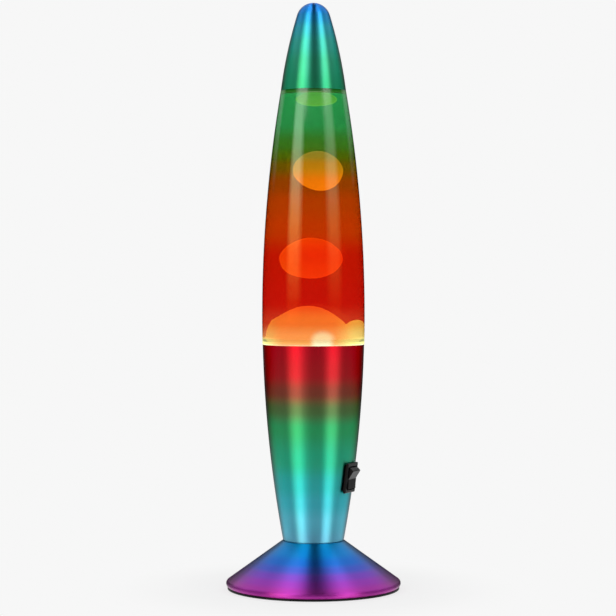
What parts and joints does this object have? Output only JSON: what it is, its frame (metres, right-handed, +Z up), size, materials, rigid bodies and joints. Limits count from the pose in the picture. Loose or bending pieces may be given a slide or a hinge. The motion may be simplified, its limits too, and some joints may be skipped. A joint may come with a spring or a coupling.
{
  "type": "liquid motion lamp",
  "caption": "Rocket-shaped liquid motion lamp: a tapered glass bottle with wax in a rainbow metallic cup on a conical foot, with a nose cap and a rocker switch.",
  "frame": {"origin": "on the table plane, under the lamp's axis", "axes": "+Z up along the lamp's axis, front faces -Y, switch towards +X and a little to the front, cord gland at +Y"},
  "size_m": [0.1224, 0.1224, 0.41],
  "materials": {
    "rainbow_skirt": "satin metallic lacquer, blue to magenta, fine turned rings",
    "rainbow_cup": "satin metallic lacquer, red over green to light blue, fine turned rings",
    "rainbow_cap": "satin metallic lacquer, green to blue, fine turned rings",
    "cover_plastic": "fine moulded grain",
    "switch_plastic": "semi-gloss moulded",
    "foot_rubber": "matte",
    "zinc_steel": "zinc plated",
    "holder_plastic": "moulded, matte",
    "contact_brass": "bare, slightly dull",
    "wire_insulation": "smooth insulation",
    "bulb_cap_metal": "nickel plated, rolled",
    "bulb_black_glass": "glossy",
    "bulb_clear_glass": "clear crown, silvered cone",
    "tungsten": "glowing",
    "tinted_glass": "clear glass with a see-through lacquer, green to red",
    "crown_tinplate": "lacquered tinplate",
    "liner_plastic": "soft sealing plastic",
    "clear_liquid": "clear",
    "lit_wax": "melted, lit from below"
  },
  "bodies": {
    "base": {"foot_skirt": "rainbow_skirt", "cord_gland": "foot_rubber", "base_cover": "cover_plastic", "rubber_feet": "foot_rubber", "tie_tube": "zinc_steel", "tube_nut": "zinc_steel", "tube_washers": "zinc_steel", "body_cup": "rainbow_cup", "switch_housing": "switch_plastic", "switch_terminals": "contact_brass", "wire_terminal": "contact_brass", "link_wire": "wire_insulation", "lampholder_base": "holder_plastic", "lampholder_insert": "holder_plastic", "lampholder_body": "holder_plastic", "lampholder_shell": "contact_brass", "centre_contact": "contact_brass", "terminal_screws": "zinc_steel"},
    "rocker": {"switch_rocker": "switch_plastic"},
    "bulb_foot": {"bulb_tip_contact": "zinc_steel", "bulb_insulator": "bulb_black_glass"},
    "bulb": {"bulb_screw_cap": "bulb_cap_metal", "bulb_glass": "bulb_clear_glass", "bulb_stem": "bulb_clear_glass", "bulb_filament": "tungsten"},
    "bottle": {"glass_bottle": "tinted_glass", "crown_liner": "liner_plastic", "crown_cork": "crown_tinplate", "wax_coil": "zinc_steel", "wax_mound": "lit_wax", "liquid": "clear_liquid"},
    "lower_blob": {"wax_blob_lower": "lit_wax"},
    "upper_blob": {"wax_blob_upper": "lit_wax"},
    "top_blob": {"wax_blob_top": "lit_wax"},
    "cap": {"top_cap": "rainbow_cap"}
  },
  "joints": [
    {"name": "rocker_tilt", "type": "hinge", "parent": "base", "child": "rocker", "pos_m": [0.02399, -0.01275, 0.07966], "axis": [-0.4695, -0.8829, 0], "range_deg": [0, 20]},
    {"name": "bulb_rise", "type": "slide", "parent": "base", "child": "bulb_foot", "axis": [0, 0, 1], "range_m": [0, 0.0099]},
    {"name": "bulb_turn", "type": "hinge", "parent": "bulb_foot", "child": "bulb", "pos_m": [0, 0, 0.068], "axis": [0, 0, 1], "range_deg": [0, 1260]},
    {"name": "bottle_lift", "type": "slide", "parent": "base", "child": "bottle", "axis": [0, 0, 1], "range_m": [0, 0.025]},
    {"name": "cap_lift", "type": "slide", "parent": "bottle", "child": "cap", "axis": [0, 0, 1], "range_m": [0, 0.04]},
    {"name": "lower_blob_drift", "type": "slide", "parent": "bottle", "child": "lower_blob", "axis": [0, 0, 1], "range_m": [-0.016, 0.016], "deforming": ["liquid"]},
    {"name": "upper_blob_drift", "type": "slide", "parent": "bottle", "child": "upper_blob", "axis": [0, 0, 1], "range_m": [-0.014, 0.016], "deforming": ["liquid"]},
    {"name": "top_blob_drift", "type": "slide", "parent": "bottle", "child": "top_blob", "axis": [0, 0, 1], "range_m": [-0.012, 0], "deforming": ["liquid"]}
  ],
  "couplings": [
    {"joint": "bulb_rise", "follows": "bulb_turn", "m_per_rad": 0.00044913}
  ]
}
